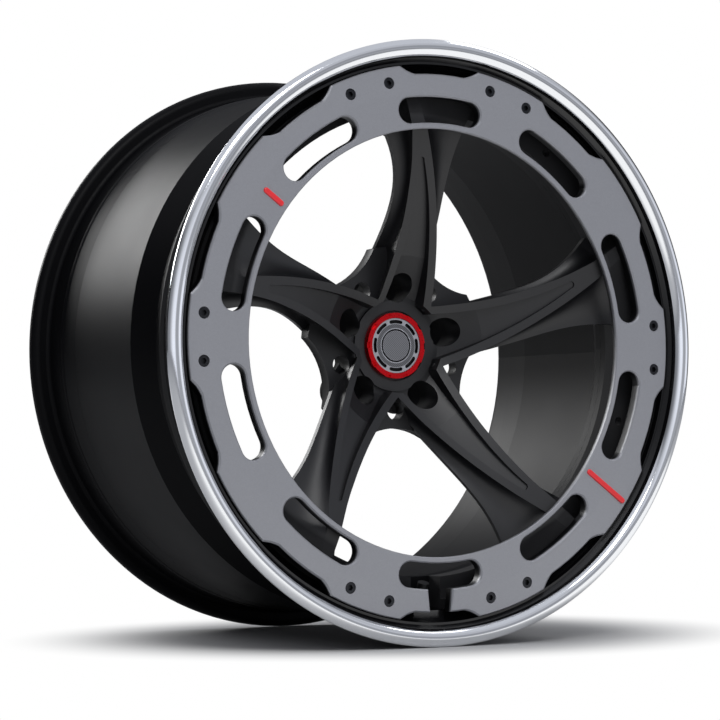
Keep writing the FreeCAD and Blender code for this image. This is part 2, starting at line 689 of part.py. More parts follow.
def spoke_section(station):
    """Section of a spoke across its radial line: face, hollow sides and two rear edges."""
    lead = blend(FACE_LEADING, station)
    trail = blend(FACE_TRAILING, station)
    rear_lead = REAR_LEADING + flare(station, REAR_LEADING_FLARE_START, REAR_LEADING_FLARE)
    rear_trail = REAR_TRAILING + flare(station, REAR_TRAILING_FLARE_START, REAR_TRAILING_FLARE)
    lead_depth = face_depth(hypot(station, lead))
    trail_depth = face_depth(hypot(station, trail))
    rear_lead_depth = rear_leading_depth(station)
    rear_trail_depth = RING_REAR + blend(REAR_TRAILING_SETBACKS, station)
    lead_face = V(lead, lead_depth, 0)
    lead_edge = V(rear_lead, rear_lead_depth - SPOKE_EDGE, 0)
    trail_edge = V(rear_trail, rear_trail_depth - SPOKE_EDGE, 0)
    trail_face = V(trail, trail_depth, 0)

    def lay(point):
        return V(-point.x, at(point.y), station)

    corners = [
        V(lead, lead_depth - FACE_STOCK, 0),
        lead_face,
        lead_edge,
        V(rear_lead, rear_lead_depth, 0),
        V(rear_trail, rear_trail_depth, 0),
        trail_edge,
        trail_face,
        V(trail, trail_depth - FACE_STOCK, 0),
    ]
    hollows = {1: hollow(lead_face, lead_edge, LEADING_HOLLOW), 5: hollow(trail_edge, trail_face, TRAILING_HOLLOW)}
    edges = []
    for i, corner in enumerate(corners):
        following = corners[(i + 1) % len(corners)]
        if i in hollows:
            edges.append(arc(lay(corner), lay(hollows[i]), lay(following)))
        else:
            edges.append(line(lay(corner), lay(following)))
    return Part.Wire(edges)


def spoke_blank():
    """One twisted spoke, trimmed to the dished face, the mounting face and the outer flange."""
    step = (END_STATION - ROOT_STATION) / (SECTION_COUNT - 1)
    sections = [spoke_section(ROOT_STATION + i * step) for i in range(SECTION_COUNT)]
    blank = Part.makeLoft(sections, True, False)
    outer = CENTRE_RADIUS - RING_SEAT_WIDTH / 2
    half_way = (HUB_STATION + FACE_RIM_RADIUS) / 2
    room = turned(
        (0, face_depth(0)),
        (HUB_STATION, FACE_HUB_DEPTH),
        ((half_way, face_depth(half_way)), (FACE_RIM_RADIUS, RING_REAR)),
        (outer, RING_REAR),
        (outer, CENTRE_FLANGE_REAR),
        (CLAMP_INNER_RADIUS, CENTRE_FLANGE_REAR),
        (PAD_RADIUS, MOUNT_FACE),
        (0, MOUNT_FACE),
    )
    return blank.common(room)


def panel_cut():
    """Room in front of the sunk panel: a leaf on each spoke, joined round the hub."""
    tip_side = (blend(FACE_LEADING, PANEL_TIP_RADIUS) + blend(FACE_TRAILING, PANEL_TIP_RADIUS)) / 2
    half = PANEL_TIP_WIDTH / 2
    root = HUB_CORE_RADIUS / 2
    stations = [root, HUB_STATION, PANEL_CREASE_RADIUS, MIDDLE_STATION]
    floor = HUB_FACE + PANEL_FLAT_SINK
    y = at(RING_FRONT)

    def side(triple, inset, end):
        points = [V(-(blend(triple, s) + inset), y, s) for s in stations]
        curve = Part.BSplineCurve()
        curve.interpolate(points + [end])
        return curve.toShape(), points[0]

    tip = V(-tip_side, y, PANEL_TIP_RADIUS)
    lead_end = tip + V(-half, 0, -half)
    trail_end = tip + V(half, 0, -half)
    lead, lead_start = side(FACE_LEADING, -PANEL_BORDER, lead_end)
    trail, trail_start = side(FACE_TRAILING, PANEL_BORDER, trail_end)
    outline = Part.Wire([line(trail_start, lead_start), lead, arc(lead_end, tip, trail_end), trail])
    leaf = prism(outline, floor - RING_FRONT)
    star = drill(0, 0, HUB_CORE_RADIUS, RING_FRONT, floor).fuse(
        pattern(leaf, even_angles(SPOKE_COUNT, SPOKE_ANGLE - 90)))
    edge = PANEL_TIP_RADIUS + half
    room = turned(
        (0, RING_FRONT),
        (edge, RING_FRONT),
        (edge, face_depth(edge) + PANEL_TIP_SINK),
        ((PANEL_MIDDLE_RADIUS, face_depth(PANEL_MIDDLE_RADIUS) + PANEL_MIDDLE_SINK),
         (PANEL_CREASE_RADIUS, face_depth(PANEL_CREASE_RADIUS) + PANEL_CREASE_SINK)),
        (PANEL_FLAT_RADIUS, floor),
        (COLLAR_RADIUS, floor),
        (COLLAR_RADIUS, HUB_FACE),
        (0, HUB_FACE),
    )
    return star.common(room)


def lug_cut(angle):
    """Pocket, conical seat and stud hole."""
    seat_length = (LUG_POCKET_RADIUS - LUG_HOLE_RADIUS) / tan(radians(LUG_SEAT_HALF_ANGLE))
    hole_start = MOUNT_FACE - LUG_HOLE_LENGTH
    seat_start = hole_start - seat_length
    cone = Part.makeCone(LUG_POCKET_RADIUS, LUG_HOLE_RADIUS, seat_length,
                         place(LUG_CIRCLE_RADIUS, angle, seat_start), V(0, 1, 0))
    pocket = drill(LUG_CIRCLE_RADIUS, angle, LUG_POCKET_RADIUS, RING_FRONT, seat_start)
    hole = drill(LUG_CIRCLE_RADIUS, angle, LUG_HOLE_RADIUS, hole_start, MOUNT_FACE)
    return [pocket, cone, hole]


def valve_pocket():
    """Gap in the centre's flange that leaves room for the valve."""
    gap = Part.makeBox(CENTRE_RADIUS - CLAMP_INNER_RADIUS + 2 * HOLE_RUNOUT, CENTRE_FLANGE_REAR - RING_REAR,
                       VALVE_POCKET_WIDTH)
    gap.translate(V(CLAMP_INNER_RADIUS - HOLE_RUNOUT, at(RING_REAR), -VALVE_POCKET_WIDTH / 2))
    return turn(gap, VALVE_ANGLE)


def wheel_centre():
    """Forged centre: hub, twisted spokes and the flange that the rim halves and ring bolt to."""
    spokes = pattern(spoke_blank(), even_angles(SPOKE_COUNT, SPOKE_ANGLE - 90))
    core = drill(0, 0, HUB_CORE_RADIUS, HUB_FACE, MOUNT_FACE)
    valleys = even_angles(SPOKE_COUNT, SPOKE_ANGLE + PITCH / 2)
    pad = drill(0, 0, PAD_RADIUS + PAD_SPREAD, PAD_FRONT, PAD_REAR).cut(
        [drill(PAD_RADIUS + PAD_SCALLOP_RADIUS, a, PAD_SCALLOP_RADIUS, PAD_FRONT, PAD_REAR) for a in valleys])
    seat_inner = CENTRE_RADIUS - RING_SEAT_WIDTH
    flange = turned(
        (seat_inner, RING_REAR),
        (CENTRE_RADIUS, RING_REAR),
        (CENTRE_RADIUS, CENTRE_FLANGE_REAR),
        (CLAMP_INNER_RADIUS, CENTRE_FLANGE_REAR),
        (CLAMP_INNER_RADIUS, CENTRE_FLANGE_FRONT),
        (seat_inner, CENTRE_FLANGE_FRONT),
    )
    lugs = even_angles(LUG_COUNT, LUG_ANGLE)
    bosses = [drill(LUG_CIRCLE_RADIUS, a, LUG_POCKET_RADIUS + LUG_BOSS_WALL, HUB_FACE, MOUNT_FACE) for a in lugs]
    body = spokes[0].fuse(spokes[1:] + [core, pad, flange] + bosses)
    cuts = [panel_cut(), valve_pocket()]
    cuts.append(drill(0, 0, BORE_RADIUS, HUB_FACE, MOUNT_FACE))
    cuts.append(drill(0, 0, CAP_RADIUS + CAP_CLEARANCE, HUB_FACE, CAP_SEAT))
    cuts.append(drill(0, 0, BORE_RADIUS + CAP_BEAD, CAP_LEG_END - CAP_BEAD_LENGTH - CAP_CLEARANCE,
                      CAP_LEG_END + CAP_CLEARANCE))
    for angle in lugs:
        cuts += lug_cut(angle)
    for angle in valleys:
        cuts.append(drill(PAD_WINDOW_CIRCLE, angle, PAD_WINDOW_RADIUS, PAD_FRONT, PAD_REAR))
        cuts.append(drill(HUB_RELIEF_CIRCLE, angle, HUB_RELIEF_RADIUS, PAD_REAR, MOUNT_FACE))
    spoke_ends = even_angles(SPOKE_COUNT, SPOKE_ANGLE)
    for angle in bolt_angles():
        blind = min(abs((angle - end + 180) % 360 - 180) for end in spoke_ends) < 180.0 / BOLT_COUNT
        front = BOLT_END_DEPTH - HOLE_RUNOUT if blind else CENTRE_FLANGE_FRONT
        cuts.append(drill(BOLT_CIRCLE_RADIUS, angle, BOLT_DIAMETER / 2 + THREAD_CLEARANCE, front, CENTRE_FLANGE_REAR))
    for angle in screw_angles():
        cuts.append(drill(SCREW_CIRCLE_RADIUS, angle, SCREW_DIAMETER / 2 + THREAD_CLEARANCE, RING_REAR,
                          RING_REAR + SCREW_REACH + HOLE_RUNOUT))
    return body.cut(cuts).removeSplitter()


# Centre cap


def cap_ring():
    """Coloured ring of the cap, notched round its outer edge."""
    ring = drill(0, 0, CAP_RING_RADIUS, CAP_FRONT, CAP_PLATE_FRONT)
    ring = ring.cut(drill(0, 0, CAP_RING_RADIUS - CAP_RING_WIDTH, CAP_FRONT, CAP_PLATE_FRONT))
    notch = Part.makeBox(CAP_RING_WIDTH / 2, CAP_RING_NOTCH_DEPTH, CAP_RING_NOTCH_LENGTH)
    notch.translate(V(CAP_RING_RADIUS - CAP_RING_WIDTH / 2, at(CAP_FRONT), -CAP_RING_NOTCH_LENGTH / 2))
    return ring.cut(pattern(notch, even_angles(CAP_RING_NOTCHES)))


def cap_disc():
    """Plain disc of the cap, with a ring of short grooves round a circle."""
    front = CAP_FRONT + CAP_DISC_SINK
    disc = drill(0, 0, CAP_DISC_RADIUS, front, CAP_PLATE_FRONT)
    groove = slot_wire(CAP_DISC_GROOVE_RADIUS - CAP_DISC_GROOVE_WIDTH / 2,
                       CAP_DISC_GROOVE_RADIUS + CAP_DISC_GROOVE_WIDTH / 2, CAP_DISC_GROOVE_HALF_ANGLE, front)
    cuts = pattern(prism(groove, CAP_DISC_GROOVE_DEPTH), even_angles(CAP_DISC_GROOVES))
    circle = drill(0, 0, CAP_DISC_CIRCLE_RADIUS + CAP_DISC_CIRCLE_WIDTH, front, front + CAP_DISC_GROOVE_DEPTH)
    cuts.append(circle.cut(drill(0, 0, CAP_DISC_CIRCLE_RADIUS, front, front + CAP_DISC_GROOVE_DEPTH)))
    return disc.cut(cuts)


def cap_body():
    """Clip body of the cap: a plate that seats in the hub and sprung legs with a snap bead."""
    body = turned(
        (0, CAP_PLATE_FRONT),
        (CAP_RADIUS, CAP_PLATE_FRONT),
        (CAP_RADIUS, CAP_SEAT),
        (CAP_LEG_RADIUS, CAP_SEAT),
        (CAP_LEG_RADIUS, CAP_LEG_END - CAP_BEAD_LENGTH),
        (CAP_LEG_RADIUS + CAP_BEAD, CAP_LEG_END - CAP_BEAD_LENGTH / 2),
        (CAP_LEG_RADIUS, CAP_LEG_END),
        (CAP_LEG_RADIUS - CAP_LEG_WALL, CAP_LEG_END),
        (CAP_LEG_RADIUS - CAP_LEG_WALL, CAP_SEAT),
        (0, CAP_SEAT),
    )
    gap = Part.makeBox(CAP_LEG_WALL + 2 * CAP_BEAD + HOLE_RUNOUT, CAP_LEG_LENGTH, CAP_LEG_GAP)
    gap.translate(V(CAP_LEG_RADIUS - CAP_LEG_WALL - CAP_BEAD, at(CAP_SEAT), -CAP_LEG_GAP / 2))
    return body.cut(pattern(gap, even_angles(CAP_LEGS)))


def cap_spring():
    """Wire ring that presses the cap's legs outwards."""
    major = CAP_LEG_RADIUS - CAP_LEG_WALL - CAP_WIRE_RADIUS - CAP_WIRE_CLEARANCE
    middle = place(0, 0, CAP_LEG_END - CAP_BEAD_LENGTH / 2)
    return Part.makeTorus(major, CAP_WIRE_RADIUS, middle, V(0, 1, 0))


# Valve


def valve_axis():
    """Direction of the valve, from the tyre side inwards and a little to the front."""
    inward = -place(1, VALVE_ANGLE, OVERALL_WIDTH / 2)
    return inward * cos(radians(VALVE_TILT)) + V(0, -1, 0) * sin(radians(VALVE_TILT))


def along_valve(distance):
    """Point on the valve's axis, by its distance inwards from the lip's inner wall."""
    return place(SPIGOT_RADIUS, VALVE_ANGLE, VALVE_DEPTH) + valve_axis() * distance


def valve_rod(radius, start, end):
    return Part.makeCylinder(radius, end - start, along_valve(start), valve_axis())


def inner_seat():
    """Flat spot on the inner wall, cut back until the whole seat is flat."""
    return -VALVE_SEAT_RADIUS * tan(radians(VALVE_TILT))


def outer_seat():
    """Flat spot on the tyre side."""
    wall = (LIP_REAR_RADIUS - SPIGOT_RADIUS) / cos(radians(VALVE_TILT))
    return -wall - inner_seat()


def valve_cuts():
    """Valve hole and its two flat seats in the lip."""
    reach = VALVE_LENGTH
    return [
        valve_rod(VALVE_STEM_RADIUS + VALVE_CLEARANCE, outer_seat() - reach, reach),
        valve_rod(VALVE_SEAT_RADIUS, inner_seat(), reach),
        valve_rod(VALVE_SEAT_RADIUS, outer_seat() - reach, outer_seat()),
    ]


def valve_stem():
    """Stem with its clamped head on the tyre side and an air bore."""
    head_front = outer_seat() - GROMMET_THICKNESS
    head = valve_rod(VALVE_HEAD_RADIUS, head_front - VALVE_HEAD_THICKNESS, head_front)
    stem = head.fuse(valve_rod(VALVE_STEM_RADIUS, head_front, VALVE_LENGTH))
    return stem.cut(valve_rod(VALVE_BORE_RADIUS, head_front - VALVE_HEAD_THICKNESS, VALVE_LENGTH)).removeSplitter()


def valve_sleeve(outer, start, end):
    """Ring round the stem."""
    return valve_rod(outer, start, end).cut(valve_rod(VALVE_STEM_RADIUS + VALVE_CLEARANCE, start, end))


def valve_grommet():
    return valve_sleeve(VALVE_HEAD_RADIUS, outer_seat() - GROMMET_THICKNESS, outer_seat())


def valve_washer():
    return valve_sleeve(VALVE_HEAD_RADIUS, inner_seat(), inner_seat() + VALVE_WASHER_THICKNESS)


def valve_nut():
    start = inner_seat() + VALVE_WASHER_THICKNESS
    nut = hexagon(VALVE_NUT_ACROSS, VALVE_NUT_THICKNESS, along_valve(start), valve_axis())
    return nut.cut(valve_rod(VALVE_STEM_RADIUS + THREAD_CLEARANCE, start, start + VALVE_NUT_THICKNESS))


def valve_core():
    """Screw-in core with its pin, inside the stem."""
    end = VALVE_LENGTH - THREAD_CLEARANCE
    barrel = valve_rod(VALVE_BORE_RADIUS - THREAD_CLEARANCE, end - VALVE_CORE_LENGTH, end - VALVE_BORE_RADIUS)
    return barrel.fuse(valve_rod(VALVE_BORE_RADIUS / 2, end - VALVE_BORE_RADIUS, end)).removeSplitter()


def valve_cap():
    end = VALVE_LENGTH + VALVE_CAP_END
    shell = valve_rod(VALVE_STEM_RADIUS + VALVE_CAP_WALL, end - VALVE_CAP_LENGTH, end)
    return shell.cut(valve_rod(VALVE_STEM_RADIUS + THREAD_CLEARANCE, end - VALVE_CAP_LENGTH, VALVE_LENGTH))


NODES = {
    "wheel_centre": wheel_centre(),
    "outer_lip": outer_lip(),
    "inner_barrel": inner_barrel(),
    "rim_seal": rim_seal(),
    "face_ring": face_ring(),
    "ring_screws": ring_screws(),
    "mark_bar_short": mark_bar(SHORT_BAR_ANGLE, SHORT_BAR_MARGIN, SHORT_BAR_LENGTH),
    "mark_bar_long": mark_bar(LONG_BAR_ANGLE, LONG_BAR_MARGIN, LONG_BAR_LENGTH),
    "assembly_bolts": assembly_bolts(),
    "assembly_washers": assembly_washers(),
    "cap_ring": cap_ring(),
    "cap_disc": cap_disc(),
    "cap_body": cap_body(),
    "cap_spring": cap_spring(),
    "valve_stem": valve_stem(),
    "valve_grommet": valve_grommet(),
    "valve_washer": valve_washer(),
    "valve_nut": valve_nut(),
    "valve_core": valve_core(),
    "valve_cap": valve_cap(),
}

os.makedirs("parts", exist_ok=True)
for name, shape in NODES.items():
    shape.exportStep(os.path.join("parts", name + ".step"))
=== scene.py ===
import math

import bmesh
import bpy
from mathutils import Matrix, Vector


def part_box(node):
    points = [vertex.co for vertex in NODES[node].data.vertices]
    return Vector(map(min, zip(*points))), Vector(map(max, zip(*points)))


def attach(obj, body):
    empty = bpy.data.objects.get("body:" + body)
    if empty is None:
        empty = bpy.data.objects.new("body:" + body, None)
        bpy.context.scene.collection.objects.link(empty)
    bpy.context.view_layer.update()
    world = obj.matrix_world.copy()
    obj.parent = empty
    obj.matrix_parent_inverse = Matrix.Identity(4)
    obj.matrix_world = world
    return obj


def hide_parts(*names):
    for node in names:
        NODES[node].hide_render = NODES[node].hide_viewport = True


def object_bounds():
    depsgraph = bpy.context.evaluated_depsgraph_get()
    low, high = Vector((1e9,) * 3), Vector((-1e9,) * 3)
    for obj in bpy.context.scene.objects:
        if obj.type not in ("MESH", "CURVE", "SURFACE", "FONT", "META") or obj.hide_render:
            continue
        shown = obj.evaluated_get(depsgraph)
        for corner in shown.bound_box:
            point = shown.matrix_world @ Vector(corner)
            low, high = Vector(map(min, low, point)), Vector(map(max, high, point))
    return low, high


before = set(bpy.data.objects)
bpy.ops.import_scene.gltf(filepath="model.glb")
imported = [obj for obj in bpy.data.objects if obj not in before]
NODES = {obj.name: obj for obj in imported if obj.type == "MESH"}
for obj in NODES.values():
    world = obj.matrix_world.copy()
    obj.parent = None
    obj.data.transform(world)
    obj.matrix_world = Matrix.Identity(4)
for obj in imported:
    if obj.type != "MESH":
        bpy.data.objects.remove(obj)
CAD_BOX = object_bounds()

bl_info = {
    "name": "Forged wheel finish",
    "version": (1, 0, 0),
    "blender": (4, 5, 0),
    "location": "View3D > Sidebar > Wheel",
    "description": "Finishes, turned lip and studio for a multi-piece forged car wheel",
    "category": "Object",
}

MM = 0.001
RIM_RADIUS = CAD_BOX[1][2]
FRONT = CAD_BOX[0][1]
FLOOR_HEIGHT = CAD_BOX[0][2]
# Finishes of the turned lip, in the order of its material slots.
POLISHED, BLACK, GLOSS_BLACK = range(3)


def linear(hex_colour):
    """sRGB hex colour as linear red, green and blue."""
    parts = [int(hex_colour[i:i + 2], 16) / 255 for i in (1, 3, 5)]
    return tuple(c / 12.92 if c <= 0.04045 else ((c + 0.055) / 1.055) ** 2.4 for c in parts)


def add(tree, kind, settings, inputs):
    """Adds a node. An input that is a socket is linked, any other value is set."""
    node = tree.nodes.new(kind)
    for name, value in settings.items():
        setattr(node, name, value)
    for name, value in inputs.items():
        socket = node.inputs[name]
        if isinstance(value, bpy.types.NodeSocket):
            tree.links.new(value, socket)
        elif socket.type == "RGBA":
            socket.default_value = (*value, 1.0)
        else:
            socket.default_value = value
    return node


def per_metre(size_mm):
    """Texture scale of a pattern whose features are that many millimetres apart."""
    return 1 / (size_mm * MM)


class LipSizes(bpy.types.PropertyGroup):
    """Section of the outer lip's polished band."""
    rim_radius: bpy.props.FloatProperty(
        name="Rim radius", description="Outside of the rim flange", default=RIM_RADIUS, unit="LENGTH")
    polished_width: bpy.props.FloatProperty(
        name="Polished width", description="Radial width of the polished band", default=15.5 * MM, unit="LENGTH")
    polished_fall: bpy.props.FloatProperty(
        name="Polished fall", description="Depth of the band's inner edge", default=4.8 * MM, unit="LENGTH")
    crest: bpy.props.FloatProperty(
        name="Crest", description="From the rim's outer edge to the crest of the band", default=7.2 * MM, unit="LENGTH")
    edge: bpy.props.FloatProperty(
        name="Edge", description="Depth of the band's outer end", default=4.0 * MM, unit="LENGTH")
    segments: bpy.props.IntProperty(
        name="Segments", description="Steps round the lip", default=360, min=48)


class FinishColours(bpy.types.PropertyGroup):
    """Colours of the finishes."""
    lip: bpy.props.FloatVectorProperty(
        name="Lip", description="Polished aluminium", subtype="COLOR", default=linear("#f2f4f7"))
    barrel: bpy.props.FloatVectorProperty(
        name="Barrel", description="Black coat of the rim halves", subtype="COLOR", default=linear("#0c0c0e"))
    centre: bpy.props.FloatVectorProperty(
        name="Centre", description="Black coat of the forged centre", subtype="COLOR", default=linear("#131316"))
    ring: bpy.props.FloatVectorProperty(
        name="Ring", description="Gunmetal coat of the face ring", subtype="COLOR", default=linear("#a2a3a8"))
    accent: bpy.props.FloatVectorProperty(
        name="Accent", description="Red enamel of the two bars", subtype="COLOR", default=linear("#ff3238"))
    cap_red: bpy.props.FloatVectorProperty(
        name="Cap red", description="Red dye of the cap ring", subtype="COLOR", default=linear("#e4141f"))
    disc: bpy.props.FloatVectorProperty(
        name="Cap disc", description="Grey of the cap disc", subtype="COLOR", default=linear("#a6a7ac"))


def start_material(name):
    """New material with its tree, its Principled shader and the object's coordinates in metres."""
    material = bpy.data.materials.new(name)
    material.use_nodes = True
    tree = material.node_tree
    return material, tree, tree.nodes["Principled BSDF"], tree.nodes.new("ShaderNodeTexCoord").outputs["Object"]


def set_inputs(shader, values):
    """Sets constant values on the shader's sockets."""
    for name, value in values.items():
        shader.inputs[name].default_value = (*value, 1.0) if shader.inputs[name].type == "RGBA" else value


def polished_aluminium(colour):
    # Forged aluminium, turned and then buffed: a mirror with the finest rings left by the lathe.
    material, tree, shader, coords = start_material("polished_forged_aluminium")
    set_inputs(shader, {"Base Color": colour, "Metallic": 1.0, "Roughness": 0.1})
    split = add(tree, "ShaderNodeSeparateXYZ", {}, {"Vector": coords})
    flat = add(tree, "ShaderNodeCombineXYZ", {}, {"X": split.outputs["X"], "Z": split.outputs["Z"]})
    radius = add(tree, "ShaderNodeVectorMath", {"operation": "LENGTH"}, {0: flat.outputs["Vector"]})
    # Lathe feed of 0.2 mm, drawn at 0.8 mm so that it shows.
    rings = add(tree, "ShaderNodeTexNoise", {"noise_dimensions": "1D"},
                {"W": radius.outputs["Value"], "Scale": per_metre(0.8), "Detail": 2.0})
    bump = add(tree, "ShaderNodeBump", {}, {"Strength": 0.04, "Distance": 0.1 * MM, "Height": rings.outputs["Fac"]})
    rough = add(tree, "ShaderNodeMapRange", {}, {"Value": rings.outputs["Fac"], "To Min": 0.07, "To Max": 0.12})
    tree.links.new(bump.outputs["Normal"], shader.inputs["Normal"])
    tree.links.new(rough.outputs["Result"], shader.inputs["Roughness"])
    return material


def black_coat(name, colour, roughness, specular, grain_mm, grain_depth_mm, dull_radius_mm=None, dull_depth_mm=None):
    # Powder coat on aluminium, sprayed and baked: a closed skin with a faint orange peel.
    material, tree, shader, coords = start_material(name)
    set_inputs(shader, {"Base Color": colour, "Roughness": roughness, "Specular IOR Level": specular})
    peel = add(tree, "ShaderNodeTexNoise", {}, {"Vector": coords, "Scale": per_metre(grain_mm), "Detail": 3.0})
    bump = add(tree, "ShaderNodeBump", {},
               {"Strength": 0.3, "Distance": grain_depth_mm * MM, "Height": peel.outputs["Fac"]})
    film = add(tree, "ShaderNodeTexNoise", {}, {"Vector": coords, "Scale": per_metre(60.0), "Detail": 4.0})
    drift = add(tree, "ShaderNodeMapRange", {},
                {"Value": film.outputs["Fac"], "To Min": roughness - 0.04, "To Max": roughness + 0.04})
    rough = drift.outputs["Result"]
    tone = add(tree, "ShaderNodeMix", {"data_type": "RGBA"},
               {"Factor": peel.outputs["Fac"], 6: [c * 0.85 for c in colour], 7: [c * 1.15 for c in colour]})
    if dull_radius_mm:
        # Beyond this radius and this depth the spray only drifts in, and the film is thin and dull.
        dulling, radius_fade_mm, depth_fade_mm = 0.45, 5.0, 20.0
        split = add(tree, "ShaderNodeSeparateXYZ", {}, {"Vector": coords})
        flat = add(tree, "ShaderNodeCombineXYZ", {}, {"X": split.outputs["X"], "Z": split.outputs["Z"]})
        radius = add(tree, "ShaderNodeVectorMath", {"operation": "LENGTH"}, {0: flat.outputs["Vector"]})
        outer = add(tree, "ShaderNodeMapRange", {},
                    {"Value": radius.outputs["Value"], "From Min": (dull_radius_mm - radius_fade_mm) * MM,
                     "From Max": dull_radius_mm * MM, "To Max": dulling})
        deep = add(tree, "ShaderNodeMapRange", {},
                   {"Value": split.outputs["Y"], "From Min": FRONT + (dull_depth_mm - depth_fade_mm) * MM,
                    "From Max": FRONT + dull_depth_mm * MM, "To Max": dulling})
        dull = add(tree, "ShaderNodeMath", {"operation": "MAXIMUM"},
                   {0: outer.outputs["Result"], 1: deep.outputs["Result"]})
        rough = add(tree, "ShaderNodeMath", {}, {0: rough, 1: dull.outputs["Value"]}).outputs["Value"]
    tree.links.new(tone.outputs[2], shader.inputs["Base Color"])
    tree.links.new(rough, shader.inputs["Roughness"])
    tree.links.new(bump.outputs["Normal"], shader.inputs["Normal"])
    return material


def gunmetal_coat(colour, face):
    # Metallic wet paint under a satin clear coat: fine flakes that glint a little apart from each other, and the
    # colour turning near black down the walls of the slots.
    material, tree, shader, coords = start_material("satin_gunmetal_coated_aluminium")
    set_inputs(shader, {"Base Color": colour, "Metallic": 0.35, "Roughness": 0.4})
    # Flakes of 0.05 mm, drawn at 0.9 mm so that they show.
    flakes = add(tree, "ShaderNodeTexVoronoi", {}, {"Vector": coords, "Scale": per_metre(0.9)})
    grey = add(tree, "ShaderNodeSeparateColor", {}, {"Color": flakes.outputs["Color"]})
    tone = add(tree, "ShaderNodeMix", {"data_type": "RGBA"},
               {"Factor": grey.outputs["Red"], 6: [c * 0.97 for c in colour], 7: [c * 1.03 for c in colour]})
    bump = add(tree, "ShaderNodeBump", {}, {"Strength": 0.02, "Distance": 0.1 * MM, "Height": grey.outputs["Green"]})
    split = add(tree, "ShaderNodeSeparateXYZ", {}, {"Vector": coords})
    # The colour turns near black between 2 and 5 mm behind the face.
    deep = add(tree, "ShaderNodeMapRange", {},
               {"Value": split.outputs["Y"], "From Min": face + 2.0 * MM, "From Max": face + 5.0 * MM})
    deep_black = linear("#101012")
    tone = add(tree, "ShaderNodeMix", {"data_type": "RGBA"},
               {"Factor": deep.outputs["Result"], 6: tone.outputs[2], 7: deep_black})
    tree.links.new(tone.outputs[2], shader.inputs["Base Color"])
    tree.links.new(bump.outputs["Normal"], shader.inputs["Normal"])
    return material


def red_enamel(colour):
    # Red enamel on aluminium, sprayed: an even colour with a soft gloss and a faint peel.
    material, tree, shader, coords = start_material("red_enamelled_aluminium")
    set_inputs(shader, {"Base Color": colour, "Roughness": 0.35, "Coat Weight": 0.3, "Coat Roughness": 0.2})
    peel = add(tree, "ShaderNodeTexNoise", {}, {"Vector": coords, "Scale": per_metre(1.5), "Detail": 2.0})
    tone = add(tree, "ShaderNodeMix", {"data_type": "RGBA"},
               {"Factor": peel.outputs["Fac"], 6: [c * 0.92 for c in colour], 7: [c * 1.08 for c in colour]})
    bump = add(tree, "ShaderNodeBump", {}, {"Strength": 0.1, "Distance": 0.05 * MM, "Height": peel.outputs["Fac"]})
    tree.links.new(tone.outputs[2], shader.inputs["Base Color"])
    tree.links.new(bump.outputs["Normal"], shader.inputs["Normal"])
    return material


def red_anodised(colour):
    # Aluminium, turned and dyed red in the anodising bath: the metal's own gleam, seen through the colour.
    material, tree, shader, coords = start_material("red_anodised_aluminium")
    set_inputs(shader, {"Base Color": colour, "Metallic": 0.8, "Roughness": 0.3})
    grain = add(tree, "ShaderNodeTexNoise", {}, {"Vector": coords, "Scale": per_metre(2.0), "Detail": 3.0})
    tone = add(tree, "ShaderNodeMix", {"data_type": "RGBA"},
               {"Factor": grain.outputs["Fac"], 6: [c * 0.75 for c in colour], 7: [c * 1.1 for c in colour]})
    rough = add(tree, "ShaderNodeMapRange", {}, {"Value": grain.outputs["Fac"], "To Min": 0.22, "To Max": 0.36})
    tree.links.new(tone.outputs[2], shader.inputs["Base Color"])
    tree.links.new(rough.outputs["Result"], shader.inputs["Roughness"])
    return material


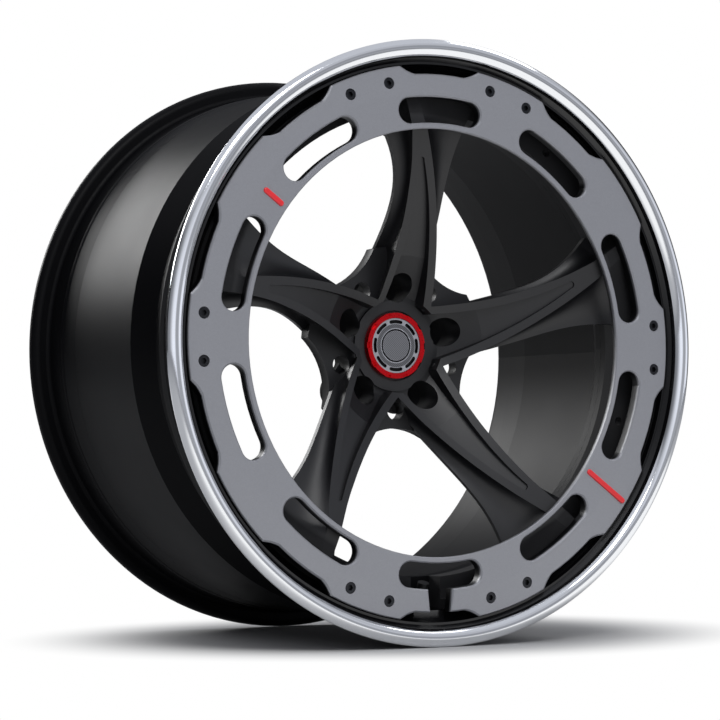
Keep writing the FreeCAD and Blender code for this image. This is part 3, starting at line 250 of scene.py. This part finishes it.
def machined_disc(radius, sunk_from, colour):
    # Aluminium disc, turned and hatched with a fine cutter: bright rings, darker hatched fields, and black paint in
    # the grooves.
    material, tree, shader, coords = start_material("machined_hatched_aluminium")
    set_inputs(shader, {"Base Color": colour, "Metallic": 0.6, "Roughness": 0.36})
    split = add(tree, "ShaderNodeSeparateXYZ", {}, {"Vector": coords})
    flat = add(tree, "ShaderNodeCombineXYZ", {}, {"X": split.outputs["X"], "Z": split.outputs["Z"]})
    reach = add(tree, "ShaderNodeVectorMath", {"operation": "LENGTH"}, {0: flat.outputs["Vector"]})
    share = add(tree, "ShaderNodeMapRange", {}, {"Value": reach.outputs["Value"], "From Max": radius})
    rings = add(tree, "ShaderNodeValToRGB", {}, {"Fac": share.outputs["Result"]})
    # Inner field, bright ring, outer field and rim, from the centre outwards, with levels that scale the colour.
    inner, ring, outer, rim = 0.7, 1.6, 0.5, 1.3
    stops = rings.color_ramp.elements
    stops[0].color = (*(c * inner for c in colour), 1.0)
    stops[1].color = (*(c * rim for c in colour), 1.0)
    for position, level in ((0.53, inner), (0.55, ring), (0.63, ring), (0.65, outer), (0.78, outer), (0.80, rim)):
        stops.new(position).color = (*(c * level for c in colour), 1.0)
    # Cutter lines 0.6 mm apart, drawn at 1.6 mm so that they show. The texture turns ten radians per unit of each axis.
    hatch = add(tree, "ShaderNodeTexWave", {"bands_direction": "DIAGONAL"},
                {"Vector": coords, "Scale": per_metre(1.6) * math.tau / (10 * math.sqrt(2))})
    hatched_to = 0.79
    field = add(tree, "ShaderNodeMath", {"operation": "LESS_THAN"}, {0: share.outputs["Result"], 1: hatched_to})
    lines = add(tree, "ShaderNodeMapRange", {}, {"Value": hatch.outputs["Fac"], "To Min": 0.5, "To Max": 1.2})
    tone = add(tree, "ShaderNodeMix", {"data_type": "RGBA", "blend_type": "MULTIPLY"},
               {"Factor": field.outputs["Value"], 6: rings.outputs["Color"], 7: lines.outputs["Result"]})
    sunk = add(tree, "ShaderNodeMath", {"operation": "GREATER_THAN"}, {0: split.outputs["Y"], 1: sunk_from})
    black = linear("#0d0d0f")
    paint = add(tree, "ShaderNodeMix", {"data_type": "RGBA"},
                {"Factor": sunk.outputs["Value"], 6: tone.outputs[2], 7: black})
    bump = add(tree, "ShaderNodeBump", {}, {"Strength": 0.3, "Distance": 0.1 * MM, "Height": hatch.outputs["Fac"]})
    tree.links.new(paint.outputs[2], shader.inputs["Base Color"])
    tree.links.new(bump.outputs["Normal"], shader.inputs["Normal"])
    return material


def metal(name, dark, light, low, high, grain_mm):
    # Plated, blackened or drawn metal: its tone and gloss drift a little over the surface.
    material, tree, shader, coords = start_material(name)
    set_inputs(shader, {"Base Color": light, "Metallic": 1.0, "Roughness": high})
    grain = add(tree, "ShaderNodeTexNoise", {}, {"Vector": coords, "Scale": per_metre(grain_mm), "Detail": 3.0})
    tone = add(tree, "ShaderNodeMix", {"data_type": "RGBA"},
               {"Factor": grain.outputs["Fac"], 6: dark, 7: light})
    rough = add(tree, "ShaderNodeMapRange", {}, {"Value": grain.outputs["Fac"], "To Min": low, "To Max": high})
    tree.links.new(tone.outputs[2], shader.inputs["Base Color"])
    tree.links.new(rough.outputs["Result"], shader.inputs["Roughness"])
    return material


def moulded(name, colour, roughness, grain_mm):
    # Moulded plastic or rubber: a dull skin with the mould's fine texture.
    material, tree, shader, coords = start_material(name)
    set_inputs(shader, {"Base Color": colour, "Roughness": roughness})
    grain = add(tree, "ShaderNodeTexNoise", {}, {"Vector": coords, "Scale": per_metre(grain_mm), "Detail": 4.0})
    tone = add(tree, "ShaderNodeMix", {"data_type": "RGBA"},
               {"Factor": grain.outputs["Fac"], 6: [c * 0.8 for c in colour], 7: [c * 1.2 for c in colour]})
    bump = add(tree, "ShaderNodeBump", {}, {"Strength": 0.2, "Distance": 0.05 * MM, "Height": grain.outputs["Fac"]})
    tree.links.new(tone.outputs[2], shader.inputs["Base Color"])
    tree.links.new(bump.outputs["Normal"], shader.inputs["Normal"])
    return material


def dress(node, material):
    """Gives a CAD node its finish."""
    mesh = NODES[node].data
    mesh.materials.clear()
    mesh.materials.append(material)


def arc_points(start, middle, end, count):
    """Points after start on the arc through three (radius, depth) points."""
    (ax, ay), (bx, by), (cx, cy) = start, middle, end
    d = 2 * (ax * (by - cy) + bx * (cy - ay) + cx * (ay - by))
    ux = ((ax * ax + ay * ay) * (by - cy) + (bx * bx + by * by) * (cy - ay) + (cx * cx + cy * cy) * (ay - by)) / d
    uy = ((ax * ax + ay * ay) * (cx - bx) + (bx * bx + by * by) * (ax - cx) + (cx * cx + cy * cy) * (bx - ax)) / d
    a0, a1, a2 = (math.atan2(y - uy, x - ux) for x, y in (start, middle, end))
    turn = math.remainder(a1 - a0, math.tau) + math.remainder(a2 - a1, math.tau)
    radius = math.hypot(ax - ux, ay - uy)
    return [(ux + radius * math.cos(a0 + turn * i / count), uy + radius * math.sin(a0 + turn * i / count))
            for i in range(1, count + 1)]


class WHEEL_OT_lip(bpy.types.Operator):
    """Turns the outer lip finely, with its polished band and its black inside"""
    bl_idname = "wheel.lip"
    bl_label = "Outer lip"

    def execute(self, context):
        sizes = context.scene.wheel_lip
        colours = context.scene.wheel_colours
        rim = sizes.rim_radius
        inner = rim - sizes.polished_width
        fall = sizes.polished_fall
        # Flange, bead seat and hump, as in the solids.
        flange_rear = 12.6 * MM
        curl = 7.5 * MM
        bead = rim - 17.5 * MM
        bead_round = 4.0 * MM
        seat = bead - 1.8 * MM
        seat_end = 36.6 * MM
        hump_length, hump_height = 8.0 * MM, 1.2 * MM
        # How far the middle of a quarter round lies in from its corner, as a share of its radius.
        quarter = 1 - math.cos(math.pi / 4)
        # Section from the polished band over the flange and back inside: points of radius and depth, the finish of
        # the face that leads to each, and whether the corner is sharp.
        section = [((inner, fall), GLOSS_BLACK, True)]

        def bend(start, middle, end, count, finish):
            section.extend((point, finish, False) for point in arc_points(start, middle, end, count))

        bend((inner, fall), (rim - sizes.crest, 0.0), (rim, sizes.edge), 24, POLISHED)
        section.append(((rim, flange_rear - curl), POLISHED, False))
        bend((rim, flange_rear - curl), (rim - curl * quarter, flange_rear - curl * quarter),
             (rim - curl, flange_rear), 8, POLISHED)
        section.append(((bead + bead_round, flange_rear), BLACK, False))
        bend((bead + bead_round, flange_rear), (bead + bead_round * quarter, flange_rear + bead_round * quarter),
             (bead, flange_rear + bead_round), 6, BLACK)
        section.append(((seat, seat_end), BLACK, True))
        bend((seat, seat_end), (seat + hump_height, seat_end + hump_length / 2), (seat, seat_end + hump_length),
             8, BLACK)
        # Clamp flange, then the walls and the step between the face ring and the polished band, in millimetres.
        clamp = ((261.0, 48.6), (261.0, 65.0), (221.0, 65.0), (221.0, 57.0), (251.8, 57.0), (251.8, 30.7))
        step = ((262.0, 20.5), (262.0, 13.5), (264.2, 13.5), (267.7, 9.6))
        for finish, corners in ((BLACK, clamp), (GLOSS_BLACK, step)):
            section.extend(((r * MM, d * MM), finish, True) for r, d in corners)
        mesh = bpy.data.meshes.new("outer_lip_turned")
        shape = bmesh.new()
        rows = []
        for i in range(sizes.segments):
            a = math.tau * i / sizes.segments
            rows.append([shape.verts.new((r * math.cos(a), FRONT + d, r * math.sin(a))) for (r, d), _, _ in section])
        count = len(section)
        for i, row in enumerate(rows):
            after = rows[(i + 1) % len(rows)]
            for j in range(count):
                k = (j + 1) % count
                face = shape.faces.new((row[j], after[j], after[k], row[k]))
                face.smooth = True
                face.material_index = section[k][1]
            for j, (_, _, sharp) in enumerate(section):
                if sharp:
                    shape.edges.get((row[j], after[j])).smooth = False
        bmesh.ops.recalc_face_normals(shape, faces=shape.faces)
        shape.to_mesh(mesh)
        shape.free()
        mesh.materials.append(polished_aluminium(colours.lip))
        mesh.materials.append(bpy.data.materials["black_coated_aluminium"])
        mesh.materials.append(black_coat("gloss_black_enamelled_aluminium", colours.barrel, 0.25, 0.6, 2.5, 0.02))
        piece = bpy.data.objects.new("outer_lip_turned", mesh)
        context.scene.collection.objects.link(piece)
        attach(piece, "root")
        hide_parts("outer_lip")
        return {"FINISHED"}


class WHEEL_OT_barrel(bpy.types.Operator):
    """Coats the inner barrel and the seal"""
    bl_idname = "wheel.barrel"
    bl_label = "Inner barrel and seal"

    def execute(self, context):
        colours = context.scene.wheel_colours
        dress("inner_barrel", black_coat("black_coated_aluminium", colours.barrel, 0.42, 0.085, 2.5, 0.03))
        dress("rim_seal", moulded("cured_black_sealant", linear("#1a1a1b"), 0.6, 2.0))
        return {"FINISHED"}


class WHEEL_OT_centre(bpy.types.Operator):
    """Coats the forged centre"""
    bl_idname = "wheel.centre"
    bl_label = "Forged centre"

    def execute(self, context):
        colours = context.scene.wheel_colours
        dress("wheel_centre", black_coat("satin_black_coated_aluminium", colours.centre, 0.42, 0.6, 1.6, 0.04,
                                          dull_radius_mm=218.0, dull_depth_mm=112.0))
        return {"FINISHED"}


class WHEEL_OT_ring(bpy.types.Operator):
    """Paints the face ring and its two bars"""
    bl_idname = "wheel.ring"
    bl_label = "Face ring and bars"

    def execute(self, context):
        colours = context.scene.wheel_colours
        low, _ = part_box("face_ring")
        dress("face_ring", gunmetal_coat(colours.ring, low[1]))
        red = red_enamel(colours.accent)
        dress("mark_bar_short", red)
        dress("mark_bar_long", red)
        return {"FINISHED"}


class WHEEL_OT_fasteners(bpy.types.Operator):
    """Finishes the screws, bolts and washers"""
    bl_idname = "wheel.fasteners"
    bl_label = "Fasteners"

    def execute(self, context):
        dress("ring_screws", metal("black_oxide_steel", linear("#2e2f32"), linear("#424347"), 0.3, 0.42, 3.0))
        dress("assembly_bolts", metal("zinc_plated_steel", linear("#b8b9bc"), linear("#d2d3d6"), 0.14, 0.24, 3.0))
        dress("assembly_washers", metal("zinc_nickel_steel", linear("#4a4b4e"), linear("#626366"), 0.3, 0.45, 3.0))
        return {"FINISHED"}


class WHEEL_OT_cap(bpy.types.Operator):
    """Finishes the centre cap"""
    bl_idname = "wheel.cap"
    bl_label = "Centre cap"

    def execute(self, context):
        colours = context.scene.wheel_colours
        low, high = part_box("cap_disc")
        # Deeper than this behind the disc's face lie its grooves.
        sunk_from = low[1] + 0.6 * MM
        dress("cap_ring", red_anodised(colours.cap_red))
        dress("cap_disc", machined_disc(high[0], sunk_from, colours.disc))
        dress("cap_body", moulded("moulded_black_nylon", linear("#161617"), 0.5, 0.8))
        dress("cap_spring", metal("drawn_spring_steel", linear("#77787a"), linear("#9b9c9e"), 0.25, 0.35, 2.0))
        return {"FINISHED"}


class WHEEL_OT_valve(bpy.types.Operator):
    """Finishes the valve"""
    bl_idname = "wheel.valve"
    bl_label = "Valve"

    def execute(self, context):
        black = metal("black_anodised_aluminium", linear("#1a1a1c"), linear("#28282b"), 0.3, 0.4, 2.0)
        for node in ("valve_stem", "valve_nut", "valve_washer"):
            dress(node, black)
        dress("valve_cap", bpy.data.materials["moulded_black_nylon"])
        dress("valve_grommet", moulded("moulded_black_rubber", linear("#131313"), 0.7, 0.6))
        dress("valve_core", metal("machined_brass", linear("#a8843f"), linear("#c9a45a"), 0.25, 0.35, 1.0))
        return {"FINISHED"}


def softbox(name, place, target, width, height, power):
    """Area lamp that faces a point."""
    data = bpy.data.lights.new(name, "AREA")
    data.shape = "RECTANGLE"
    data.size, data.size_y, data.energy = width, height, power
    lamp = bpy.data.objects.new(name, data)
    lamp.location = place
    lamp.rotation_euler = (Vector(target) - Vector(place)).to_track_quat("-Z", "Y").to_euler()
    bpy.context.scene.collection.objects.link(lamp)


def plate(name, corners, material):
    """Flat four-sided sheet."""
    mesh = bpy.data.meshes.new(name)
    mesh.from_pydata(corners, [], [(0, 1, 2, 3)])
    mesh.materials.append(material)
    sheet = bpy.data.objects.new(name, mesh)
    bpy.context.scene.collection.objects.link(sheet)


def paper_floor():
    # Pale floor: grey paper near the wheel, where the shadow falls, and clear white further out.
    material = bpy.data.materials.new("paper_floor_with_painted_shade")
    material.use_nodes = True
    tree = material.node_tree
    tree.nodes.clear()
    output = tree.nodes.new("ShaderNodeOutputMaterial")
    paths = tree.nodes.new("ShaderNodeLightPath")
    place = tree.nodes.new("ShaderNodeNewGeometry").outputs["Position"]
    # The paper, its shadow and its painted grey keep to an oval round the wheel's footprint.
    oval_centre = (0.04, 0.0, 0.0)
    oval_size = (0.28, 0.22, 1.0e6)
    shifted = add(tree, "ShaderNodeVectorMath", {"operation": "SUBTRACT"}, {0: place, 1: oval_centre})
    scaled = add(tree, "ShaderNodeVectorMath", {"operation": "DIVIDE"}, {0: shifted.outputs["Vector"], 1: oval_size})
    reach = add(tree, "ShaderNodeVectorMath", {"operation": "LENGTH"}, {0: scaled.outputs["Vector"]})
    outside = add(tree, "ShaderNodeMapRange", {"interpolation_type": "SMOOTHSTEP"},
                  {"Value": reach.outputs["Value"], "From Min": 0.75, "From Max": 1.45})
    direct = add(tree, "ShaderNodeMath", {"operation": "MULTIPLY"},
                 {0: paths.outputs["Is Camera Ray"], 1: outside.outputs["Result"]})
    # Mirrored, the clear white is a lit patch in front of the wheel.
    patch_centre = (0.5, -1.0, FLOOR_HEIGHT)
    away = add(tree, "ShaderNodeVectorMath", {"operation": "DISTANCE"}, {0: place, 1: patch_centre})
    patch = add(tree, "ShaderNodeMapRange", {"interpolation_type": "SMOOTHSTEP"},
                {"Value": away.outputs["Value"], "From Min": 0.75, "From Max": 1.2, "To Min": 1.0, "To Max": 0.0})
    mirrored = add(tree, "ShaderNodeMath", {"operation": "MAXIMUM"},
                   {0: paths.outputs["Is Glossy Ray"], 1: paths.outputs["Is Transmission Ray"]})
    for share in (patch, outside):
        mirrored = add(tree, "ShaderNodeMath", {"operation": "MULTIPLY"},
                       {0: mirrored.outputs["Value"], 1: share.outputs["Result"]})
    clear = add(tree, "ShaderNodeMath", {"operation": "MAXIMUM"},
                {0: direct.outputs["Value"], 1: mirrored.outputs["Value"]})
    # The paper's grey is painted shade: it darkens the floor and deepens the shadow round the wheel.
    paper = add(tree, "ShaderNodeBsdfDiffuse", {}, {"Color": linear("#c0c0c0")})
    white = add(tree, "ShaderNodeEmission", {}, {"Color": (1.0, 1.0, 1.0), "Strength": 1.0})
    mix = add(tree, "ShaderNodeMixShader", {},
              {0: clear.outputs["Value"], 1: paper.outputs["BSDF"], 2: white.outputs["Emission"]})
    tree.links.new(mix.outputs["Shader"], output.inputs["Surface"])
    return material


def studio_world():
    # Studio: plain white behind the wheel for the camera, and a room of its own for light and reflections.
    world = bpy.data.worlds.new("studio")
    world.use_nodes = True
    tree = world.node_tree
    tree.nodes.clear()
    output = tree.nodes.new("ShaderNodeOutputWorld")
    paths = tree.nodes.new("ShaderNodeLightPath")
    ray = tree.nodes.new("ShaderNodeTexCoord").outputs["Generated"]
    split = add(tree, "ShaderNodeSeparateXYZ", {}, {"Vector": ray})
    smooth = {"interpolation_type": "SMOOTHSTEP"}
    # A pale tent in front of the wheel, dimmer to the left and above, and a dark room behind it.
    front = add(tree, "ShaderNodeMapRange", smooth,
                {"Value": split.outputs["Y"], "From Min": -0.35, "From Max": 0.30, "To Min": 0.95, "To Max": 0.05})
    left = add(tree, "ShaderNodeMapRange", smooth,
               {"Value": split.outputs["X"], "From Min": -0.95, "From Max": -0.30, "To Min": 0.25, "To Max": 1.0})
    above = add(tree, "ShaderNodeMapRange", smooth,
                {"Value": split.outputs["Z"], "From Min": -0.10, "From Max": 0.60, "To Min": 1.1, "To Max": 0.55})
    tent = add(tree, "ShaderNodeMath", {"operation": "MULTIPLY"},
               {0: front.outputs["Result"], 1: left.outputs["Result"]})
    tent = add(tree, "ShaderNodeMath", {"operation": "MULTIPLY"},
               {0: tent.outputs["Value"], 1: above.outputs["Result"]})
    # A pale ceiling.
    ceiling = add(tree, "ShaderNodeMapRange", smooth,
                  {"Value": split.outputs["Z"], "From Min": 0.40, "From Max": 0.70, "To Max": 0.62})
    level = add(tree, "ShaderNodeMath", {"operation": "MAXIMUM"},
                {0: tent.outputs["Value"], 1: ceiling.outputs["Result"]})
    # A grey flag to the right of the camera, which the polished lip mirrors as a darker band.
    flag_direction = (0.49, -0.87, 0.03)
    toward = add(tree, "ShaderNodeVectorMath", {"operation": "DOT_PRODUCT"}, {0: ray, 1: flag_direction})
    flag = add(tree, "ShaderNodeMapRange", smooth,
               {"Value": toward.outputs["Value"], "From Min": 0.88, "From Max": 0.98, "To Min": 1.0, "To Max": 0.4})
    level = add(tree, "ShaderNodeMath", {"operation": "MULTIPLY"},
                {0: level.outputs["Value"], 1: flag.outputs["Result"]})
    room = add(tree, "ShaderNodeBackground", {}, {"Color": linear("#f3f6ff"), "Strength": level.outputs["Value"]})
    white = add(tree, "ShaderNodeBackground", {}, {"Color": (1.0, 1.0, 1.0), "Strength": 1.0})
    mix = add(tree, "ShaderNodeMixShader", {},
              {0: paths.outputs["Is Camera Ray"], 1: room.outputs["Background"], 2: white.outputs["Background"]})
    tree.links.new(mix.outputs["Shader"], output.inputs["Surface"])
    return world


class WHEEL_OT_stage(bpy.types.Operator):
    """Sets up the floor, the room, the lamps and the camera"""
    bl_idname = "wheel.stage"
    bl_label = "Studio"

    def execute(self, context):
        scene = context.scene
        reach, height = 9.0, FLOOR_HEIGHT - 0.2 * MM
        corners = [(x * reach, y * reach, height) for x, y in ((-1, -1), (1, -1), (1, 1), (-1, 1))]
        plate("floor", corners, paper_floor())
        scene.world = studio_world()

        softbox("side_softbox", (1.75, 0.0, 2.2), (1.75, 0.0, 0.0), width=1.0, height=1.6, power=12)
        softbox("rear_softbox", (-0.68, 2.6, 1.0), (0.0, 0.0, 0.0), width=1.4, height=0.9, power=32)
        softbox("key_softbox", (-0.4, -2.0, 1.8), (0.0, 0.0, 0.0), width=1.2, height=0.9, power=20)

        # Fitted to the lip, the ring and the rear flange in the photo.
        data = bpy.data.cameras.new("photo_camera")
        data.sensor_width = 36.0
        data.lens = 125.587
        data.clip_end = 100.0
        camera = bpy.data.objects.new("photo_camera", data)
        camera.location = (-1.2185, -2.1695, -0.1005)
        target = Vector((-0.0686, -0.1241, -0.0167))
        camera.rotation_euler = (target - camera.location).to_track_quat("-Z", "Y").to_euler()
        scene.collection.objects.link(camera)
        scene.camera = camera
        scene.view_settings.view_transform = "Standard"
        return {"FINISHED"}


STEPS = (WHEEL_OT_barrel, WHEEL_OT_lip, WHEEL_OT_centre, WHEEL_OT_ring, WHEEL_OT_fasteners, WHEEL_OT_cap,
         WHEEL_OT_valve, WHEEL_OT_stage)


class WHEEL_PT_panel(bpy.types.Panel):
    """Lists the wheel's pieces and their settings"""
    bl_idname = "WHEEL_PT_panel"
    bl_label = "Forged wheel"
    bl_space_type = "VIEW_3D"
    bl_region_type = "UI"
    bl_category = "Wheel"

    def draw(self, context):
        for group in (context.scene.wheel_lip, context.scene.wheel_colours):
            for name in group.__annotations__:
                self.layout.prop(group, name)
        for step in STEPS:
            self.layout.operator(step.bl_idname)


CLASSES = (LipSizes, FinishColours, *STEPS, WHEEL_PT_panel)


def register():
    for item in CLASSES:
        bpy.utils.register_class(item)
    bpy.types.Scene.wheel_lip = bpy.props.PointerProperty(type=LipSizes)
    bpy.types.Scene.wheel_colours = bpy.props.PointerProperty(type=FinishColours)


def unregister():
    del bpy.types.Scene.wheel_colours
    del bpy.types.Scene.wheel_lip
    for item in reversed(CLASSES):
        bpy.utils.unregister_class(item)


def main():
    register()
    bpy.ops.wheel.barrel()
    bpy.ops.wheel.lip()
    bpy.ops.wheel.centre()
    bpy.ops.wheel.ring()
    bpy.ops.wheel.fasteners()
    bpy.ops.wheel.cap()
    bpy.ops.wheel.valve()
    bpy.ops.wheel.stage()


if __name__ == "__main__":
    main()
